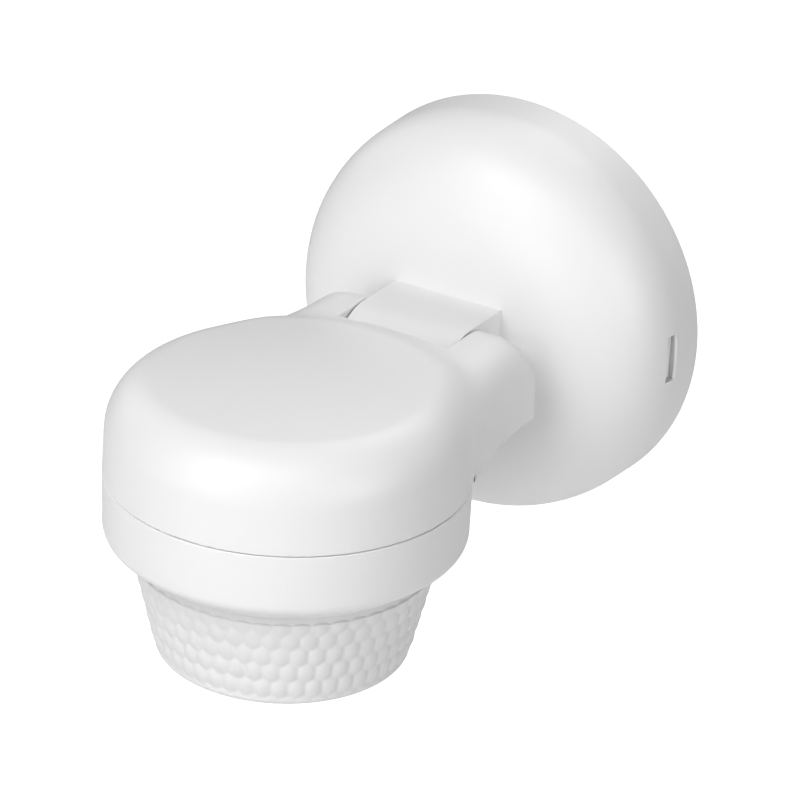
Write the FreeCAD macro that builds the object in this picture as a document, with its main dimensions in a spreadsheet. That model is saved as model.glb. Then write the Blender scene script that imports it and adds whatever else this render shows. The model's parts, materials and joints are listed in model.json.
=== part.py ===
import FreeCAD, Part
import math
import os

import Sketcher

# Wall-mounted motion sensor: a domed base with a hinge knuckle carries a round head that tilts.
# Frame: origin at the centre of the base on the wall, +Z up, +Y into the wall, +X to the right as
# the sensor is faced. The head reaches forward, towards -Y, and its lens looks down.

DOC = FreeCAD.newDocument("motion_sensor")
V = FreeCAD.Vector

# Driving dimensions, in millimetres, degrees or plain powers.
DIMENSIONS = {
    # domed base cover
    "base_radius": 50.0,
    "dome_radius": 49.7,
    "dome_skirt": 6.94,
    "dome_depth": 23.7,
    "dome_side_power": 4.48,
    "dome_front_power": 2.03,
    "wall": 2.4,
    # hinge
    "hinge_y": -45.0,
    "hinge_z": -1.4,
    "knuckle_radius": 12.3,
    "knuckle_half": 14.2,
    "knuckle_gap": 0.5,
    "hinge_gap": 0.3,
    "axle_radius": 3.3,
    "axle_bore": 2.1,
    "axle_half": 20.4,
    "running_gap": 0.05,
    "bush_radius": 4.4,
    "seal_radius": 4.7,
    "seal_depth": 1.3,
    "boss_radius": 7.0,
    "boss_length": 2.0,
    "clip_thick": 0.8,
    "clip_seat_radius": 2.9,
    "washer_thick": 0.6,
    "cable_radius": 1.8,
    # release slot and latch
    "slot_low": -4.8,
    "slot_high": 6.8,
    "slot_back": -9.4,
    "slot_front": -12.9,
    "latch_margin": 0.4,
    "latch_root_x": 44.0,
    "latch_root_y": -3.4,
    "latch_thick": 1.6,
    "latch_reach": 47.9,
    # base plate and its wall interface
    "plate_radius": 46.9,
    "plate_thick": 3.0,
    "screw_spacing": 60.0,
    "screw_slot_width": 4.5,
    "screw_slot_length": 9.0,
    "cable_entry_z": -16.0,
    "grommet_radius": 7.0,
    "grommet_flange": 9.5,
    "grommet_bore": 3.8,
    "seal_inner": 41.0,
    "seal_outer": 44.0,
    "wall_seal_thick": 1.3,
    # base electronics
    "board_y": -19.4,
    "board_thick": 1.6,
    "power_board_radius": 36.0,
    "power_board_low": -23.0,
    "standoff_radius": 3.2,
    "small_screw_radius": 1.25,
    "small_head_radius": 2.6,
    "small_head_thick": 1.6,
    "terminal_top": -28.0,
    "terminal_height": 11.0,
    "terminal_half": 14.0,
    "terminal_depth": 12.0,
    "terminal_pitch": 7.0,
    # head
    "head_y": -97.8,
    "head_radius": 41.0,
    "head_top_radius": 40.6,
    "head_crown_z": 16.9,
    "crown_radius": 245.0,
    "head_fillet": 10.5,
    "seam_z": -7.0,
    "seam_gap": 0.3,
    "neck_half": 28.6,
    "neck_top": 10.9,
    "neck_bottom": -9.6,
    "neck_fillet": 9.0,
    "neck_rear": -38.0,
    "rear_slope_run": 5.0,
    "rear_slope_drop": 3.7,
    "flare_radius": 80.0,
    "flare_start": -44.0,
    "notch_front": -55.5,
    "ring_slip": 0.35,
    # lens ring and lens
    "ring_bottom_radius": 40.75,
    "ring_round_z": -20.3,
    "lip_radius": 39.3,
    "lip_z": -21.7,
    "lip_end_z": -25.4,
    "lens_radius": 35.6,
    "lens_gap": 0.15,
    "lens_seat_z": -21.6,
    "lens_flange_radius": 37.5,
    "lens_flange_thick": 1.2,
    "lens_band_z": -26.9,
    "lens_toe_radius": 29.4,
    "lens_toe_z": -49.6,
    "lens_end_radius": 28.4,
    "lens_end_z": -50.7,
    "lens_wall": 1.0,
    "retainer_thick": 1.8,
    "retainer_inner": 34.8,
    "collar_radius": 36.0,
    "collar_wall": 2.0,
    "collar_end_z": -13.0,
    "lug_angle": 40.0,
    "lug_thick": 1.6,
    # head electronics
    "chassis_thick": 2.0,
    "chassis_radius": 38.3,
    "sensor_board_z": -2.6,
    "sensor_board_radius": 34.0,
    "chassis_screw_ring": 30.0,
    "board_screw_ring": 24.0,
    "neck_screw_x": 24.6,
    "neck_screw_y": -60.0,
    "dial_ring": 25.0,
    "dial_radius": 4.5,
    "dial_shaft": 1.4,
    "dial_thick": 3.0,
    "dial_face_z": -12.0,
    "tower_radius": 14.0,
    "tower_end_radius": 10.0,
    "tower_end_z": -38.0,
    "tower_flat": 9.0,
    "pir_radius": 4.1,
    "pir_length": 4.2,
    "pir_z": -30.0,
}


class Size:
    """A length from the sheet together with the formula that gives it."""

    def __init__(self, value, text):
        self.value = value
        self.text = text

    def join(self, other, sign, value):
        return Size(value, f"({self.text} {sign} {text_of(other)})")

    def __add__(self, other):
        return self.join(other, "+", self.value + value_of(other))

    def __sub__(self, other):
        return self.join(other, "-", self.value - value_of(other))

    def __mul__(self, other):
        return self.join(other, "*", self.value * value_of(other))

    def __truediv__(self, other):
        return self.join(other, "/", self.value / value_of(other))

    def __neg__(self):
        return Size(-self.value, f"(0 - {self.text})")


def value_of(size):
    return size.value if isinstance(size, Size) else float(size)


def text_of(size):
    return size.text if isinstance(size, Size) else repr(float(size))


class Sheet:
    """The spreadsheet's cells, each read as a Size through its alias."""

    def __init__(self, dimensions):
        sheet = DOC.addObject("Spreadsheet::Sheet", "Sheet")
        for row, (alias, value) in enumerate(dimensions.items(), start=1):
            sheet.set(f"A{row}", alias.replace("_", " "))
            sheet.set(f"B{row}", str(value))
            sheet.setAlias(f"B{row}", alias)
        DOC.recompute()
        self.sizes = {alias: Size(getattr(sheet, alias), f"Sheet.{alias}") for alias in dimensions}

    def __getattr__(self, alias):
        return self.sizes[alias]


S = Sheet(DIMENSIONS)


# Building blocks

def bind(thing, prop, size):
    if isinstance(size, Size):
        thing.setExpression(prop, size.text)
    else:
        setattr(thing, prop, size)


def place(thing, x, y, z, rotation=None):
    thing.Placement = FreeCAD.Placement(
        V(value_of(x), value_of(y), value_of(z)), rotation or FreeCAD.Rotation()
    )
    for axis, size in (("x", x), ("y", y), ("z", z)):
        if isinstance(size, Size):
            thing.setExpression(f"Placement.Base.{axis}", size.text)
    return thing


def box(name, x, y, z):
    """A block between two values on each axis, given as (low, high) pairs."""
    block = DOC.addObject("Part::Box", name)
    for prop, (low, high) in (("Length", x), ("Width", y), ("Height", z)):
        bind(block, prop, Size(value_of(high), text_of(high)) - low)
    return place(block, x[0], y[0], z[0])


AXIS_TURN = {
    "x": FreeCAD.Rotation(V(0, 1, 0), 90),
    "y": FreeCAD.Rotation(V(1, 0, 0), -90),
    "z": FreeCAD.Rotation(),
}


def rod(name, axis, radius, low, high, across):
    """A cylinder along one axis from low to high; across holds its two other coordinates."""
    cylinder = DOC.addObject("Part::Cylinder", name)
    bind(cylinder, "Radius", radius)
    bind(cylinder, "Height", Size(value_of(high), text_of(high)) - low)
    first, second = across
    base = {"x": (low, first, second), "y": (first, low, second), "z": (first, second, low)}[axis]
    return place(cylinder, *base, AXIS_TURN[axis])


def cut(name, base, *tools):
    tool = tools[0] if len(tools) == 1 else fuse(f"{name}_tools", *tools)
    result = DOC.addObject("Part::Cut", name)
    result.Base = base
    result.Tool = tool
    return result


def fuse(name, *shapes):
    result = DOC.addObject("Part::MultiFuse", name)
    result.Shapes = list(shapes)
    return result


def group(name, shapes):
    result = DOC.addObject("Part::Compound", name)
    result.Links = list(shapes)
    return result


def tube(name, axis, outer, inner, low, high, across):
    return cut(
        name,
        rod(f"{name}_body", axis, outer, low, high, across),
        rod(f"{name}_bore", axis, inner, low, high, across),
    )


def solid(name, shape):
    """A sub-part whose outline is a formula, so its shape is set directly."""
    feature = DOC.addObject("Part::Feature", name)
    feature.Shape = shape
    return feature


def outline(body, name, role, corners):
    """A closed polygon sketch; each corner's two distances from the origin follow the sheet."""
    sketch = body.newObject("Sketcher::SketchObject", name)
    plane = next(item for item in body.Origin.OriginFeatures if item.Role == role)
    sketch.AttachmentSupport = (plane, [""])
    sketch.MapMode = "FlatFace"
    spots = [V(value_of(u), value_of(v), 0) for u, v in corners]
    count = len(spots)
    for index in range(count):
        sketch.addGeometry(Part.LineSegment(spots[index], spots[(index + 1) % count]), False)
    for index in range(count):
        sketch.addConstraint(Sketcher.Constraint("Coincident", index, 2, (index + 1) % count, 1))
    for index, (u, v) in enumerate(corners):
        for kind, size in (("DistanceX", u), ("DistanceY", v)):
            datum = Sketcher.Constraint(kind, -1, 1, index, 1, value_of(size))
            number = sketch.addConstraint(datum)
            if isinstance(size, Size):
                sketch.setExpression(f"Constraints[{number}]", size.text)
    return sketch


def turned(name, role, corners, spot=(0, 0, 0)):
    """A body of revolution about its sketch's vertical axis."""
    body = DOC.addObject("PartDesign::Body", name)
    sketch = outline(body, f"{name}_profile", role, corners)
    turn = body.newObject("PartDesign::Revolution", f"{name}_turn")
    turn.Profile = sketch
    turn.ReferenceAxis = (sketch, ["V_Axis"])
    turn.Angle = 360
    place(body, *spot)
    return body


def around(count, radius, start=0.0, centre_y=0.0):
    """Spots evenly spaced on a circle in the XY plane, with their angles."""
    for index in range(count):
        angle = start + index * 360.0 / count
        x = value_of(radius) * math.cos(math.radians(angle))
        y = value_of(centre_y) + value_of(radius) * math.sin(math.radians(angle))
        yield x, y, angle


def plain_box(x, y, z):
    (x0, x1), (y0, y1), (z0, z1) = x, y, z
    return Part.makeBox(x1 - x0, y1 - y0, z1 - z0, V(x0, y0, z0))


def plain_rod(radius, start, end):
    along = end - start
    return Part.makeCylinder(radius, along.Length, start, along)


def bent_rod(points, radius, bend):
    """A round cable: straight runs through the given corners, each corner rounded to the bend."""
    pieces = []
    start = points[0]
    for before, corner, after in zip(points, points[1:], points[2:]):
        enter = (corner - before).normalize()
        leave = (after - corner).normalize()
        angle = enter.getAngle(leave)
        inset = bend * math.tan(angle / 2)
        near = corner - enter * inset
        axis = enter.cross(leave).normalize()
        centre = near + axis.cross(enter) * bend
        disc = Part.Face(Part.Wire(Part.makeCircle(radius, near, enter)))
        pieces.append(plain_rod(radius, start, near))
        pieces.append(disc.revolve(centre, axis, math.degrees(angle)))
        start = corner + leave * inset
    pieces.append(plain_rod(radius, start, points[-1]))
    return pieces[0].fuse(pieces[1:])


# Base

def dome(inset):
    """The base's dome as a solid of revolution: a short skirt, then a superellipse."""
    radius = value_of(S.dome_radius) - inset
    depth = value_of(S.dome_depth) - inset
    skirt = value_of(S.dome_skirt)
    steps = 22
    points = []
    for step in range(steps + 1):
        turn = math.pi / 2 * (step / steps) ** 2
        across = radius * math.sin(turn) ** (2 / value_of(S.dome_side_power))
        ahead = depth * max(math.cos(turn), 0.0) ** (2 / value_of(S.dome_front_power))
        points.append(V(across, -skirt - ahead, 0))
    foot = V(value_of(S.base_radius) - inset, 0, 0)
    curve = Part.BSplineCurve()
    curve.interpolate(Points=points, InitialTangent=V(1, 0, 0), FinalTangent=foot - points[-1])
    edges = [
        curve.toShape(),
        Part.makeLine(points[-1], foot),
        Part.makeLine(foot, V(0, 0, 0)),
        Part.makeLine(V(0, 0, 0), points[0]),
    ]
    return Part.Face(Part.Wire(edges)).revolve(V(0, 0, 0), V(0, 1, 0), 360)


def knuckle(inset, back):
    """The hinge block: a flat-topped bar ending in a half round about the hinge axis."""
    half = value_of(S.knuckle_half) - inset
    radius = value_of(S.knuckle_radius) - inset
    y, z = value_of(S.hinge_y), value_of(S.hinge_z)
    bar = plain_box((-half, half), (y, back), (z - radius, z + radius))
    nose = plain_rod(radius, V(-half, y, z), V(half, y, z))
    return bar.fuse(nose).removeSplitter()


STANDOFFS = [(-28.0, -6.0), (28.0, -6.0), (0.0, 28.0)]
LEDGE_BACK = -9.0
LEDGE_FRONT = -10.5
LEDGE_REACH = 44.6
LEDGE_HALF = 6.0
KNUCKLE_BACK = -22.0
BORE_DEPTH = 5.5


def hinge_bores(radius, half):
    y, z = value_of(S.hinge_y), value_of(S.hinge_z)
    return plain_rod(radius, V(-half, y, z), V(half, y, z))


def build_base_cover():
    wall = value_of(S.wall)
    half = value_of(S.knuckle_half)
    outer = dome(0.0).fuse(knuckle(0.0, KNUCKLE_BACK))
    hollow = dome(wall).fuse(knuckle(wall, KNUCKLE_BACK + wall))
    shell = outer.cut(hollow)
    boss_half = half - wall
    boss = hinge_bores(value_of(S.boss_radius), boss_half)
    room = boss_half - value_of(S.boss_length)
    shell = shell.fuse(boss.cut(hinge_bores(value_of(S.boss_radius) + 1, room)))
    stand_end = value_of(S.board_y) - value_of(S.board_thick)
    front = -value_of(S.dome_skirt) - value_of(S.dome_depth)
    posts = []
    for x, z in STANDOFFS:
        post = plain_rod(value_of(S.standoff_radius), V(x, stand_end, z), V(x, front, z))
        hole_radius = value_of(S.small_screw_radius) + value_of(S.running_gap)
        hole = plain_rod(hole_radius, V(x, stand_end, z), V(x, stand_end - BORE_DEPTH, z))
        posts.append(post.cut(hole))
    ledge = plain_box((-49, -LEDGE_REACH), (LEDGE_FRONT, LEDGE_BACK), (-LEDGE_HALF, LEDGE_HALF))
    extras = posts[0].fuse(posts[1:] + [ledge]).common(outer)
    shell = shell.fuse(extras)
    slot = plain_box(
        (LEDGE_REACH, value_of(S.base_radius) + 1),
        (value_of(S.slot_front), value_of(S.slot_back)),
        (value_of(S.slot_low), value_of(S.slot_high)),
    )
    bore = hinge_bores(value_of(S.axle_radius + S.running_gap), half + 1)
    seat_floor = half - value_of(S.seal_depth)
    seats = hinge_bores(value_of(S.seal_radius), half + 1)
    seats = seats.cut(hinge_bores(value_of(S.seal_radius) + 1, seat_floor))
    return solid("base_cover", shell.cut([slot, bore, seats]).removeSplitter())


def build_base_plate():
    back, front = Size(0.0, "0"), -S.plate_thick
    disc = rod("plate_disc", "y", S.plate_radius, front, back, (0, 0))
    cuts = [rod("plate_entry", "y", S.grommet_radius, front, back, (0, S.cable_entry_z))]
    groove = tube(
        "plate_groove", "y", S.seal_outer, S.seal_inner, -S.wall_seal_thick, back, (0, 0)
    )
    cuts.append(groove)
    half_slot = (S.screw_slot_length - S.screw_slot_width) / 2
    radius = S.screw_slot_width / 2
    for side, tag in ((-1, "left"), (1, "right")):
        middle = S.screw_spacing / 2 * side
        ends = (middle - half_slot, middle + half_slot)
        cuts.append(box(f"slot_{tag}", ends, (front, back), (-radius, radius)))
        for number, x in enumerate(ends):
            cuts.append(rod(f"slot_{tag}_end_{number}", "y", radius, front, back, (x, 0)))
    post_front = -13.0
    hook = fuse(
        "plate_hook",
        box("hook_post", (-43.9, -42.0), (post_front, front), (-5, 5)),
        box("hook_nub", (-45.8, -42.0), (post_front, LEDGE_FRONT - 0.1), (-5, 5)),
    )
    return cut("base_plate", fuse("plate_body", disc, hook), *cuts)


def build_wall_seal():
    return tube(
        "wall_seal", "y", S.seal_outer, S.seal_inner, -S.wall_seal_thick, Size(0.0, "0"), (0, 0)
    )


def build_cable_grommet():
    """A flanged rubber bush, turned about its own axis and moved to the cable entry."""
    inside = -S.plate_thick
    lip = inside - 2.0
    corners = [
        (S.grommet_bore, 0),
        (S.grommet_radius, 0),
        (S.grommet_radius, inside),
        (S.grommet_flange, inside),
        (S.grommet_flange - 1.0, lip),
        (S.grommet_bore, lip),
    ]
    return turned("cable_grommet", "XY_Plane", corners, (0, 0, S.cable_entry_z))


def terminal_spots():
    for index in range(4):
        yield index, S.terminal_pitch * (index - 1.5)


LEAD_RADIUS = 1.1
LEAD_BEND = 1.6
SOCKET_LOW = -20.0
WELL_RADIUS = 2.2
WELL_DEPTH = 6.0
ENTRY_RADIUS = 1.6
ENTRY_Y = -6.6


def build_terminal_block():
    back = -S.plate_thick
    front = back - S.terminal_depth
    bottom = S.terminal_top - S.terminal_height
    block = box(
        "terminal_body", (-S.terminal_half, S.terminal_half), (front, back), (bottom, S.terminal_top)
    )
    middle = (S.terminal_top + bottom) / 2
    cuts = []
    for index, x in terminal_spots():
        well = rod(f"well_{index}", "y", WELL_RADIUS, front, front + WELL_DEPTH, (x, middle))
        entry = rod(f"wire_entry_{index}", "z", ENTRY_RADIUS, middle, S.terminal_top, (x, ENTRY_Y))
        cuts += [well, entry]
        if index:
            gap = x - S.terminal_pitch / 2
            cuts.append(
                box(
                    f"fin_gap_{index}", (gap - 0.4, gap + 0.4), (front, front + 3),
                    (bottom, S.terminal_top),
                )
            )
    return cut("terminal_block", block, *cuts)


def build_terminal_screws():
    middle = S.terminal_top - S.terminal_height / 2
    floor = -S.plate_thick - S.terminal_depth + WELL_DEPTH
    screws = []
    for index, x in terminal_spots():
        spot = (x, floor - 2.0, middle)
        head = rod(f"terminal_screw_{index}_head", "y", 2.0, spot[1], floor, (x, middle))
        slot = box(
            f"terminal_screw_{index}_slot", (x - 2.1, x + 2.1), (spot[1], spot[1] + 0.8),
            (middle - 0.35, middle + 0.35),
        )
        screws.append(cut(f"terminal_screw_{index}", head, slot))
    return group("terminal_screws", screws)


def build_supply_leads():
    """Three insulated leads from the terminal block up to the board's socket."""
    top = value_of(S.terminal_top)
    end_y = -15.5
    leads = []
    for _, pitch in list(terminal_spots())[:3]:
        x = value_of(pitch)
        end_x = x * 0.7
        points = [
            V(x, ENTRY_Y, top - 2.0),
            V(x, ENTRY_Y, top + 1.8),
            V(end_x, end_y, top + 4.6),
            V(end_x, end_y, SOCKET_LOW),
        ]
        leads.append(bent_rod(points, LEAD_RADIUS, LEAD_BEND))
    return solid("supply_leads", Part.makeCompound(leads))


def build_power_board():
    front = S.board_y - S.board_thick
    disc = rod("power_board_disc", "y", S.power_board_radius, front, S.board_y, (0, 0))
    trim = box(
        "power_board_trim", (-S.power_board_radius, S.power_board_radius), (front, S.board_y),
        (-S.power_board_radius, S.power_board_low),
    )
    cuts = [trim, rod("cable_hole", "y", 2.4, front, S.board_y, (0, CABLE_HOLE_Z))]
    for number, (x, z) in enumerate(STANDOFFS):
        cuts.append(rod(f"power_board_hole_{number}", "y", 1.5, front, S.board_y, (x, z)))
    return cut("power_board", disc, *cuts)


def build_board_screws():
    screws = []
    for number, (x, z) in enumerate(STANDOFFS):
        head = rod(
            f"board_screw_{number}_head", "y", S.small_head_radius, S.board_y,
            S.board_y + S.small_head_thick, (x, z),
        )
        shank = rod(
            f"board_screw_{number}_shank", "y", S.small_screw_radius,
            S.board_y - S.board_thick - 5.0, S.board_y, (x, z),
        )
        slot = box(
            f"board_screw_{number}_slot", (x - 2.7, x + 2.7),
            (S.board_y + S.small_head_thick - 0.7, S.board_y + S.small_head_thick), (z - 0.4, z + 0.4),
        )
        screws.append(cut(f"board_screw_{number}", fuse(f"board_screw_{number}_body", head, shank), slot))
    return group("board_screws", screws)


def board_block(name, x, z, height, round_radius):
    """A moulded component on the wall side of the power board, with its upright edges rounded."""
    body = DOC.addObject("PartDesign::Body", name)
    corners = [(x[0], z[0]), (x[1], z[0]), (x[1], z[1]), (x[0], z[1])]
    sketch = outline(body, f"{name}_profile", "XZ_Plane", corners)
    pad = body.newObject("PartDesign::Pad", f"{name}_pad")
    pad.Profile = sketch
    pad.Length = height
    pad.Reversed = True
    DOC.recompute()
    edges = [
        f"Edge{number}" for number, edge in enumerate(pad.Shape.Edges, start=1)
        if abs(edge.tangentAt(edge.FirstParameter).y) > 0.9
    ]
    rounding = body.newObject("PartDesign::Fillet", f"{name}_rounding")
    rounding.Base = (pad, edges)
    rounding.Radius = round_radius
    return place(body, 0, S.board_y, 0)


def build_relay():
    return board_block("relay", (-21.0, -6.0), (-3.0, 16.0), 14.5, 0.8)


def build_suppression_capacitor():
    return board_block("suppression_capacitor", (3.0, 21.0), (-2.0, 5.5), 12.5, 1.2)


def build_board_socket():
    return board_block("board_socket", (-8.5, 8.5), (SOCKET_LOW, -13.5), 9.0, 0.4)


def build_storage_capacitor():
    """A can with a rolled neck near its foot."""
    height = 13.0
    corners = [(0, 0), (5.0, 0), (5.0, 1.2), (4.6, 1.7), (5.0, 2.2)]
    corners += [(5.0, height - 0.6), (4.4, height), (0, height)]
    return turned("storage_capacitor", "XY_Plane", corners, (13.0, S.board_y, 17.0))


def build_varistor():
    """A coated disc standing on edge above its leads."""
    radius = 5.0
    rise = S.board_y + 1.5 + radius
    disc = rod("varistor_disc", "z", radius, 21.0, 25.0, (-12.0, rise))
    legs = [
        rod(f"varistor_leg_{number}", "y", 0.4, S.board_y, rise, (x, 23.0))
        for number, x in enumerate((-14.5, -9.5))
    ]
    return fuse("varistor", disc, *legs)


def build_fuse():
    """A radial fuse in a round housing."""
    corners = [(0, 0), (4.2, 0), (4.2, 6.8), (3.6, 7.6), (0, 7.6)]
    return turned("fuse", "XY_Plane", corners, (20.0, S.board_y, -13.0))


# Hinge hardware

def build_hinge_axle():
    """A hollow axle with a side window for the cable and a groove near each end for its clip."""
    y, z = S.hinge_y, S.hinge_z
    body = rod("axle_body", "x", S.axle_radius, -S.axle_half, S.axle_half, (y, z))
    bore = rod("axle_bore_hole", "x", S.axle_bore, -S.axle_half, S.axle_half, (y, z))
    window = box("axle_window", (-9.4, 3.0), (y, y + S.axle_radius + 1), (z - 1.9, z + 1.9))
    cuts = [bore, window]
    for side, tag in ((-1, "left"), (1, "right")):
        near, far = clip_span(side)
        ring = tube(f"clip_groove_{tag}", "x", S.axle_radius + 1, S.clip_seat_radius, near, far, (y, z))
        cuts.append(ring)
    return cut("hinge_axle", body, *cuts)


def ear_face():
    return S.knuckle_half + S.knuckle_gap


def washer_face():
    return ear_face() + S.wall + 0.65


def clip_span(side):
    start = washer_face() + S.washer_thick + 0.05
    end = start + S.clip_thick
    return (start, end) if side > 0 else (-end, -start)


def build_axle_clips():
    clips = []
    y, z = S.hinge_y, S.hinge_z
    for side, tag in ((-1, "left"), (1, "right")):
        near, far = clip_span(side)
        ring = tube(f"clip_ring_{tag}", "x", S.bush_radius, S.clip_seat_radius, near, far, (y, z))
        mouth = box(f"clip_mouth_{tag}", (near, far), (y - 6, y), (z - 1.6, z + 1.6))
        clips.append(cut(f"clip_{tag}", ring, mouth))
    return group("axle_clips", clips)


def both_sides(name, radius, bore, start, length):
    """A pair of washers about the hinge axis, one each side of the middle."""
    rings = []
    for side, tag in ((-1, "left"), (1, "right")):
        span = (start, start + length) if side > 0 else (-(start + length), -start)
        rings.append(tube(f"{name}_{tag}", "x", radius, bore, *span, (S.hinge_y, S.hinge_z)))
    return rings


def build_hinge_seals():
    start = S.knuckle_half - S.seal_depth
    length = S.seal_depth + S.knuckle_gap * 0.8
    rings = both_sides("hinge_seal", S.seal_radius, S.axle_radius + S.running_gap, start, length)
    return group("hinge_seals", rings)


def build_friction_washers():
    rings = both_sides(
        "friction_washer", S.bush_radius, S.axle_radius + S.running_gap, washer_face(), S.washer_thick
    )
    return group("friction_washers", rings)


def build_ear_bushes():
    """Flanged bushes pressed into the ears from inside."""
    bore = S.axle_radius + S.running_gap
    bushes = []
    start = ear_face() + 0.05
    for side, tag in ((-1, "left"), (1, "right")):
        inner = ear_face() + S.wall
        span = (start, inner) if side > 0 else (-inner, -start)
        lip = (inner, inner + 0.6) if side > 0 else (-(inner + 0.6), -inner)
        spot = (S.hinge_y, S.hinge_z)
        sleeve = rod(f"bush_sleeve_{tag}", "x", S.bush_radius - 0.4, *span, spot)
        flange = rod(f"bush_flange_{tag}", "x", S.bush_radius, *lip, spot)
        reach = (start, inner + 0.6) if side > 0 else (-(inner + 0.6), -start)
        hole = rod(f"bush_hole_{tag}", "x", bore, *reach, spot)
        bushes.append(cut(f"bush_{tag}", fuse(f"bush_body_{tag}", sleeve, flange), hole))
    return group("ear_bushes", bushes)


CABLE_LANE = -6.0
CABLE_BEND = 5.0
CABLE_HOLE_Z = -4.0


def build_base_cable():
    """From the power board into the knuckle, through the axle's window and out along its bore."""
    y, z = value_of(S.hinge_y), value_of(S.hinge_z)
    points = [
        V(0, value_of(S.board_y), CABLE_HOLE_Z),
        V(0, -26.0, CABLE_HOLE_Z),
        V(CABLE_LANE, -36.0, z),
        V(CABLE_LANE, y, z),
        V(value_of(S.axle_half), y, z),
    ]
    return solid("base_cable", bent_rod(points, value_of(S.cable_radius), CABLE_BEND))


# Release latch

def build_release_latch():
    """A springy tongue rising from the base plate, whose nose catches in the cover's slot."""
    half = S.latch_thick / 2
    inner, outer = S.latch_root_x - half, S.latch_root_x + half
    foot = S.latch_root_y + 0.2
    back, front = S.slot_back - S.latch_margin, S.slot_front + S.latch_margin
    corners = [
        (inner, foot),
        (outer, foot),
        (outer, back),
        (S.latch_reach, back),
        (S.latch_reach, back - 1.0),
        (S.latch_reach - 1.9, front),
        (outer, front - 0.8),
        (inner, front - 0.8),
    ]
    low, high = S.slot_low + S.latch_margin, S.slot_high - S.latch_margin
    body = DOC.addObject("PartDesign::Body", "release_latch")
    sketch = outline(body, "latch_profile", "XY_Plane", corners)
    pad = body.newObject("PartDesign::Pad", "latch_pad")
    pad.Profile = sketch
    bind(pad, "Length", high - low)
    return place(body, 0, 0, low)


# Head shell

def head_profile(inset, bottom):
    """Half section of the round head: crown arc, edge fillet and slightly drafted side."""
    apex = value_of(S.head_crown_z) - inset
    crown = value_of(S.crown_radius) - inset
    fillet = value_of(S.head_fillet) - inset
    centre_r = value_of(S.head_top_radius - S.head_fillet)
    middle_z = apex - crown
    span = crown - fillet
    centre_z = middle_z + math.sqrt(span ** 2 - centre_r ** 2)
    lean = math.atan2(centre_r, centre_z - middle_z)
    top = V(0, 0, apex)
    shoulder = V(crown * math.sin(lean), 0, middle_z + crown * math.cos(lean))
    crown_mid = V(crown * math.sin(lean / 2), 0, middle_z + crown * math.cos(lean / 2))
    half_turn = (math.pi / 2 - lean) / 2
    fillet_mid = V(centre_r + fillet * math.cos(half_turn), 0, centre_z + fillet * math.sin(half_turn))
    side_top = V(centre_r + fillet, 0, centre_z)
    side_foot = V(value_of(S.head_radius) - inset, 0, bottom)
    centre_foot = V(0, 0, bottom)
    return [
        Part.Arc(top, crown_mid, shoulder).toShape(),
        Part.Arc(shoulder, fillet_mid, side_top).toShape(),
        Part.makeLine(side_top, side_foot),
        Part.makeLine(side_foot, centre_foot),
        Part.makeLine(centre_foot, top),
    ]


def round_head(inset, bottom):
    face = Part.Face(Part.Wire(head_profile(inset, bottom)))
    head = face.revolve(V(0, 0, 0), V(0, 0, 1), 360)
    head.translate(V(0, value_of(S.head_y), 0))
    return head


def neck_plan(inset):
    """The neck seen from above: a flare each side, the ears' straight sides and the rear."""
    half = value_of(S.neck_half) - inset
    flare = value_of(S.flare_radius) + inset
    centre_x = value_of(S.neck_half + S.flare_radius)
    start, rear = value_of(S.flare_start), value_of(S.neck_rear) - inset
    lean = math.atan2(start - value_of(S.head_y), centre_x)
    points = [V(half, rear, 0)]
    for angle in (0.0, lean / 2, lean):
        points.append(V(centre_x - flare * math.cos(angle), start - flare * math.sin(angle), 0))
    corner, foot, middle, tip = points
    mirror = [V(-point.x, point.y, 0) for point in points]
    edges = [
        Part.Arc(tip, middle, foot).toShape(),
        Part.makeLine(foot, corner),
        Part.makeLine(corner, mirror[0]),
        Part.makeLine(mirror[0], mirror[1]),
        Part.Arc(mirror[1], mirror[2], mirror[3]).toShape(),
        Part.makeLine(mirror[3], tip),
    ]
    return Part.Face(Part.Wire(edges)), tip


CHAMFER_SHARE = 0.64
BEYOND = 60.0


def neck_block(inset, bottom):
    """The neck, sloped at its rear top edge: rounded outside, and chamfered where it is hollow."""
    plan, tip = neck_plan(inset)
    top = value_of(S.neck_top) - inset
    plan.translate(V(0, 0, bottom))
    block = plan.extrude(V(0, 0, top - bottom))
    rims = [edge for edge in block.Edges if is_side_rim(edge, top, tip.y)]
    if inset:
        block = block.makeChamfer((value_of(S.neck_fillet) - inset) * CHAMFER_SHARE, rims)
    else:
        block = block.makeFillet(value_of(S.neck_fillet), rims)
    return block.cut(rear_slope(inset))


def is_side_rim(edge, top, front):
    """True for the neck's long top edges, neither the hidden one in the head nor the rear one."""
    spots = [vertex.Point for vertex in edge.Vertexes]
    at_top = all(abs(spot.z - top) < 1e-6 for spot in spots)
    one_side = spots[0].x * spots[-1].x > 0
    return at_top and one_side and any(spot.y > front + 1e-3 for spot in spots)


def rear_slope(inset):
    """A wedge that takes the neck's rear top edge down to where the ears turn past the dome."""
    run, drop = value_of(S.rear_slope_run), value_of(S.rear_slope_drop)
    length = math.hypot(run, drop)
    start = V(0, value_of(S.neck_rear) - run, value_of(S.neck_top))
    start -= V(0, drop, run) * (inset / length)
    along = V(0, run, -drop)
    low, high = start + along * 3.0, start - along
    corners = [high, low, V(0, low.y, high.z), high]
    face = Part.Face(Part.makePolygon([point - V(BEYOND, 0, 0) for point in corners]))
    return face.extrude(V(2 * BEYOND, 0, 0))


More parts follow.
